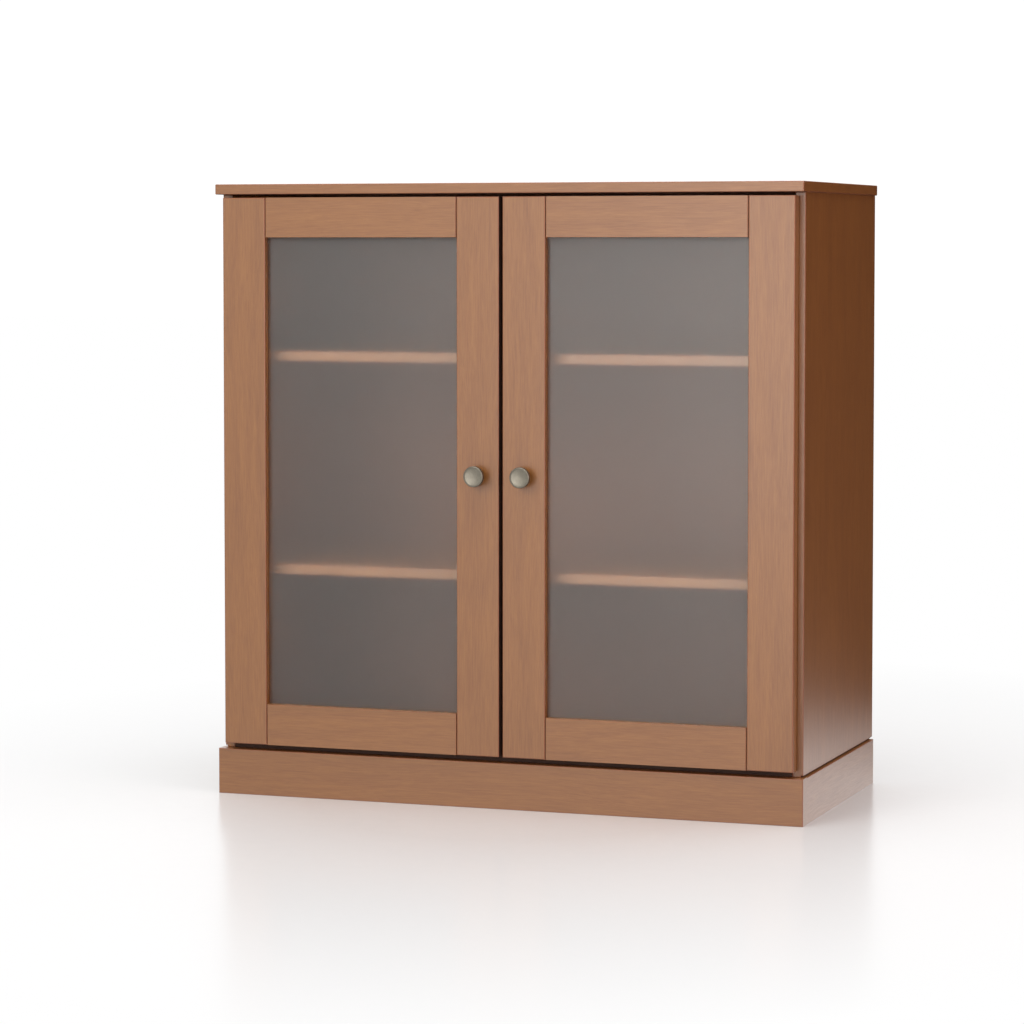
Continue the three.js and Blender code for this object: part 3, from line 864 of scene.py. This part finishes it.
def make_screw(name, base, axis):
    """A pan-head screw with a cross slot, its head standing on its base."""
    screw = turned(name, base, axis, scaled(SCREW_PROFILE, SCREW_HEAD_RADIUS), SCREW_SIDES)
    forward = AXES[axis.strip("-")] * (-1 if axis.startswith("-") else 1)
    deep = forward * SCREW_SLOT_DEPTH
    middle = Vector(base) + forward * SCREW_HEAD_HEIGHT
    flat = [a for key, a in AXES.items() if key != axis.strip("-")]
    for long, short in (flat, flat[::-1]):
        half = long * SCREW_SLOT_LENGTH / 2 + short * SCREW_SLOT_WIDTH / 2
        reach = Vector([abs(v) for v in deep])
        bit = block("slot", middle - half - reach, middle + half + reach)
        take(screw)
        cut = screw.modifiers.new("slot", "BOOLEAN")
        cut.operation = "DIFFERENCE"
        cut.object = bit
        bpy.ops.object.modifier_apply(modifier=cut.name)
        bpy.data.objects.remove(bit)
    return screw


def make_knob(side_name):
    node = f"{side_name}_knob"
    low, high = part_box(node)
    base = Vector(((low.x + high.x) / 2, high.y, (low.z + high.z) / 2))
    knob = turned(f"{side_name}_turned_knob", base, "-y", KNOB_PROFILE, KNOB_SIDES)
    axis = knob.data.attributes.new("turning_axis", "FLOAT_VECTOR", "POINT")
    axis.data.foreach_set("vector", tuple(base) * len(knob.data.vertices))
    dress(knob, NICKEL, f"{side_name}_door", "satin_nickel", node)


def make_bumper(side_name):
    node = f"{side_name}_door_bumper"
    low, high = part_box(node)
    base = Vector(((low.x + high.x) / 2, low.y, (low.z + high.z) / 2))
    radius, thick = (high.x - low.x) / 2, high.y - low.y
    profile = scaled(BUMPER_PROFILE, radius, thick)
    bumper = turned(f"{side_name}_bumper_dome", base, "y", profile, BUMPER_SIDES)
    dress(bumper, BUMPER_RUBBER, f"{side_name}_door", "bumper_rubber", node)


def finish_fitting(node, material, easing):
    """Keeps a fitting as it was packed, with its corners broken and a plated finish."""
    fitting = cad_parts[node]
    weld = fitting.modifiers.new("weld", "WELD")
    weld.merge_threshold = WELD_REACH
    bevel = fitting.modifiers.new("corners", "BEVEL")
    bevel.width = easing
    bevel.segments = 2
    bevel.limit_method = "ANGLE"
    bevel.angle_limit = CORNER_ANGLE
    fitting.data.materials.clear()
    fitting.data.materials.append(material)


def make_screw_pair(name, place, low, high, axis, body):
    """Two screws, one above the other, each set in from one end of a fitting."""
    heights = (low + HINGE_SCREW_INSET, high - HINGE_SCREW_INSET)
    screws = [make_screw("screw", (*place, z), axis) for z in heights]
    dress(joined(name, screws), ZINC_STEEL, body, "zinc_steel")


def make_hinge(side_name, side, level):
    prefix = f"{side_name}_{level}_hinge"
    for part in ("cup", "arm", "link", "plate"):
        finish_fitting(f"{prefix}_{part}", HINGE_STEEL, HINGE_CORNER)
    cup_low, cup_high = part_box(f"{prefix}_cup")
    flange_x = side * (max(abs(cup_low.x), abs(cup_high.x)) - CUP_RADIUS)
    make_screw_pair(
        f"{prefix}_cup_screws", (flange_x, cup_high.y), cup_low.z, cup_high.z, "y", f"{side_name}_door",
    )
    plate_low, plate_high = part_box(f"{prefix}_plate")
    wing_x = side * (max(abs(plate_low.x), abs(plate_high.x)) - PLATE_WING)
    wing_y = plate_low.y + PLATE_SCREW_BACK
    inwards = "x" if side < 0 else "-x"
    make_screw_pair(
        f"{prefix}_plate_screws", (wing_x, wing_y), plate_low.z, plate_high.z, inwards, "carcass",
    )


def make_back_nails():
    """Small nails along the edges of the back sheet."""
    low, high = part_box("back_panel")
    spots = []
    across = max(2, round((high.x - low.x) / NAIL_SPACING))
    upright = max(2, round((high.z - low.z) / NAIL_SPACING))
    for k in range(across + 1):
        x = low.x + NAIL_EDGE + k * (high.x - low.x - 2 * NAIL_EDGE) / across
        spots += [(x, low.z + BOTTOM_NAIL_EDGE), (x, high.z - NAIL_EDGE)]
    for k in range(1, upright):
        z = low.z + k * (high.z - low.z) / upright
        spots += [(low.x + NAIL_EDGE, z), (high.x - NAIL_EDGE, z)]
    profile = scaled(NAIL_PROFILE, NAIL_RADIUS, NAIL_HEIGHT)
    first = turned("nail", (0, high.y, 0), "y", profile, NAIL_SIDES)
    nails = [copy_to(first, "nail_copy", (x, 0, z)) for x, z in spots]
    bpy.data.objects.remove(first)
    dress(joined("back_sheet_nails", nails), ZINC_STEEL, "carcass", "zinc_steel")


make_carcass()
make_plinth()
make_back_nails()
for side_name, side in SIDES.items():
    make_stile(side_name, side, "hinge")
    make_stile(side_name, side, "meeting")
    for level in ("top", "bottom"):
        make_rail(side_name, level)
    make_glazing(side_name)
    make_knob(side_name)
    make_bumper(side_name)
    finish_fitting(f"{side_name}_knob_screw", ZINC_STEEL, PIN_CORNER)
    for level in LEVELS:
        make_hinge(side_name, side, level)
        for place in ("front", "rear"):
            finish_fitting(f"{level}_shelf_pin_{side_name}_{place}", ZINC_STEEL, PIN_CORNER)

# ---------------------------------------------------------------- floor, light and camera

FLOOR_HALF = 30.0
FLOOR_NEAR_WHITE = 0.79
FLOOR_POLISH = 0.20
SHEEN_START = 0.45
SHEEN_END = 1.7
# Painted light for rays that bounce off the floor: its colour and its glow in reflections fade from
# near the cabinet toward the back.
BOUNCE_START = 0.25
BOUNCE_END = 1.15
BOUNCE_DIFFUSE = 0.45
BOUNCE_GLOSSY = 1.3
BOUNCE_FAR = 0.03
REACH_STRETCH = (1.35, 1, 1)

# The room: full white where it is seen; its strength for what it lights, from the front to behind
ROOM_SEEN = 1.05
ROOM_SOFT_FRONT = 0.44
ROOM_SOFT_BEHIND = 0.24
ROOM_SHINE_FRONT = 1.7
ROOM_SHINE = 1.0
FLAG_TOWARD = (0.64, 0.77, 0)
FLAG_START = 0.66
FLAG_END = 0.80
FLAG_SHINE = 0.01
WARM_LIGHT = (1.0, 0.52, 0.47)

CAMERA_PLACE = (1.6485, -4.7761, 0.8138)
CAMERA_YAW = 19.638
CAMERA_PITCH = 3.089
CAMERA_LENS = 119.75
CAMERA_SHIFT = -0.083
CAMERA_SENSOR = 36


def seen_directly(tree, path):
    """Seen by the camera, or through the glass."""
    camera, through = path.outputs["Is Camera Ray"], path.outputs["Is Transmission Ray"]
    return maths(tree, (300, 500), "MAXIMUM", camera, through)


def make_floor():
    """A plain white floor, polished round the cabinet. For rays that bounce off it, a painted glow in
    reflections and painted shade in its colour fade away from the cabinet.
    """
    take(None)
    bpy.ops.mesh.primitive_plane_add(size=2 * FLOOR_HALF)
    floor = named(bpy.context.object, "studio_floor")
    made, tree, shader, output = new_material("studio_floor")
    where = add_node(tree, "ShaderNodeTexCoord", (-1100, 0))
    paper = noise(tree, (-700, 200), where.outputs["Object"], 40, 3)
    reach = add_node(tree, "ShaderNodeVectorMath", (-900, -300), operation="LENGTH")
    wide = stretched(tree, (-1100, -300), where.outputs["Object"], REACH_STRETCH)
    wire(tree, wide, reach.inputs[0])
    reach = reach.outputs["Value"]
    parts = add_node(tree, "ShaderNodeSeparateXYZ", (-900, -500))
    wire(tree, where.outputs["Object"], parts.inputs[0])
    behind = parts.outputs["Y"]
    away = remap(tree, (-600, -100), reach, SHEEN_START, SHEEN_END, 0, 1)
    white = remap(tree, (-300, 200), paper, 0, 1, FLOOR_NEAR_WHITE, FLOOR_NEAR_WHITE + 0.01)
    wire(tree, white, shader.inputs["Base Color"])
    polish = remap(tree, (-300, 0), paper, 0, 1, FLOOR_POLISH, FLOOR_POLISH + 0.02)
    wire(tree, polish, shader.inputs["Roughness"])
    paper_white = add_node(tree, "ShaderNodeEmission", (300, -200))
    seen = add_node(tree, "ShaderNodeMixShader", (550, -100))
    wire(tree, away, seen.inputs["Fac"])
    wire(tree, shader.outputs["BSDF"], seen.inputs[1])
    wire(tree, paper_white.outputs["Emission"], seen.inputs[2])
    # Painted shade and painted reflection: for diffuse rays the floor's colour darkens toward the back;
    # for glossy rays it glows, though it is no lamp, fading the same way.
    matt = add_node(tree, "ShaderNodeBsdfDiffuse", (0, -400))
    fading = remap(tree, (-400, -400), behind, BOUNCE_START, BOUNCE_END, BOUNCE_DIFFUSE, BOUNCE_FAR)
    wire(tree, fading, matt.inputs["Color"])
    glow = add_node(tree, "ShaderNodeEmission", (0, -600))
    fading = remap(tree, (-400, -600), behind, BOUNCE_START, BOUNCE_END, BOUNCE_GLOSSY, BOUNCE_FAR)
    wire(tree, fading, glow.inputs["Strength"])
    path = add_node(tree, "ShaderNodeLightPath", (500, 400))
    bounce = add_node(tree, "ShaderNodeMixShader", (550, -400))
    wire(tree, path.outputs["Is Glossy Ray"], bounce.inputs["Fac"])
    wire(tree, matt.outputs["BSDF"], bounce.inputs[1])
    wire(tree, glow.outputs["Emission"], bounce.inputs[2])
    mix = add_node(tree, "ShaderNodeMixShader", (720, 100))
    wire(tree, seen_directly(tree, path), mix.inputs["Fac"])
    wire(tree, bounce.outputs["Shader"], mix.inputs[1])
    wire(tree, seen.outputs["Shader"], mix.inputs[2])
    wire(tree, mix.outputs["Shader"], output.inputs["Surface"])
    floor.data.materials.append(made)


def make_world():
    """A white studio where it is seen; what it lights gets less from behind than from in front.

    A dark flag at the back right keeps the shine off the right side."""
    world = bpy.data.worlds.new("studio")
    world.use_nodes = True
    bpy.context.scene.world = world
    tree = world.node_tree
    tree.nodes.clear()
    where = add_node(tree, "ShaderNodeTexCoord", (-1100, 0))
    parts = add_node(tree, "ShaderNodeSeparateXYZ", (-900, 0))
    wire(tree, where.outputs["Generated"], parts.inputs[0])
    behind = parts.outputs["Y"]
    path = add_node(tree, "ShaderNodeLightPath", (-900, 400))
    soft = remap(tree, (-600, 0), behind, -0.8, 0.6, ROOM_SOFT_FRONT, ROOM_SOFT_BEHIND)
    toward_flag = add_node(tree, "ShaderNodeVectorMath", (-900, -300), operation="DOT_PRODUCT")
    wire(tree, where.outputs["Generated"], toward_flag.inputs[0])
    toward_flag.inputs[1].default_value = FLAG_TOWARD
    flag = toward_flag.outputs["Value"]
    shine = remap(tree, (-600, -300), flag, FLAG_START, FLAG_END, 1.0, FLAG_SHINE)
    front = remap(tree, (-600, -500), behind, -0.9, -0.4, ROOM_SHINE_FRONT, ROOM_SHINE)
    shine = maths(tree, (-450, -300), "MULTIPLY", shine, front)
    lit = add_node(tree, "ShaderNodeMix", (-300, 0))
    wire(tree, path.outputs["Is Glossy Ray"], lit.inputs["Factor"])
    wire(tree, soft, lit.inputs["A"])
    wire(tree, shine, lit.inputs["B"])
    seen = add_node(tree, "ShaderNodeMix", (-100, 0))
    wire(tree, seen_directly(tree, path), seen.inputs["Factor"])
    wire(tree, lit.outputs["Result"], seen.inputs["A"])
    seen.inputs["B"].default_value = ROOM_SEEN
    background = add_node(tree, "ShaderNodeBackground", (200, 0))
    background.inputs["Color"].default_value = (1, 1, 1, 1)
    wire(tree, seen.outputs["Result"], background.inputs["Strength"])
    output = add_node(tree, "ShaderNodeOutputWorld", (400, 0))
    wire(tree, background.outputs["Background"], output.inputs["Surface"])


def softbox(
    name, azimuth, elevation, distance, size, power, colour=(1, 1, 1), lights="all",
):
    """A square soft lamp that faces the middle of the cabinet; azimuth 0 is straight in front.

    It lights everything, only the shine on things, or only their body colour."""
    a, e = math.radians(azimuth), math.radians(elevation)
    away = Vector((math.sin(a) * math.cos(e), -math.cos(a) * math.cos(e), math.sin(e)))
    middle = (cad_box[0] + cad_box[1]) / 2
    take(None)
    bpy.ops.object.light_add(type="AREA", location=middle + away * distance)
    lamp = bpy.context.object
    lamp.name = name
    lamp.data.shape = "SQUARE"
    lamp.data.size = size
    lamp.data.energy = power
    lamp.data.color = colour
    lamp.rotation_euler = away.to_track_quat("Z", "Y").to_euler()
    lamp.visible_diffuse = lights != "shine"
    lamp.visible_glossy = lights != "body"


def make_camera():
    data = bpy.data.cameras.new("camera")
    data.lens = CAMERA_LENS
    data.sensor_width = CAMERA_SENSOR
    data.shift_y = CAMERA_SHIFT
    camera = bpy.data.objects.new("camera", data)
    bpy.context.scene.collection.objects.link(camera)
    camera.location = CAMERA_PLACE
    camera.rotation_euler = (math.radians(90 - CAMERA_PITCH), 0, math.radians(CAMERA_YAW))
    bpy.context.scene.camera = camera


make_floor()
make_world()
softbox("key", azimuth=-22, elevation=26, distance=4.6, size=1.8, power=62, lights="body")
softbox("haze", azimuth=-1, elevation=4, distance=4.6, size=2.2, power=56, lights="shine")
softbox("top", azimuth=20, elevation=82, distance=3.6, size=3.0, power=120)
softbox("side_fill", azimuth=70, elevation=12, distance=3.0, size=1.6, power=18, colour=WARM_LIGHT)
softbox("back_fill", azimuth=200, elevation=35, distance=5.0, size=2.5, power=40)
make_camera()
bpy.context.scene.view_settings.view_transform = "Standard"
take(None)
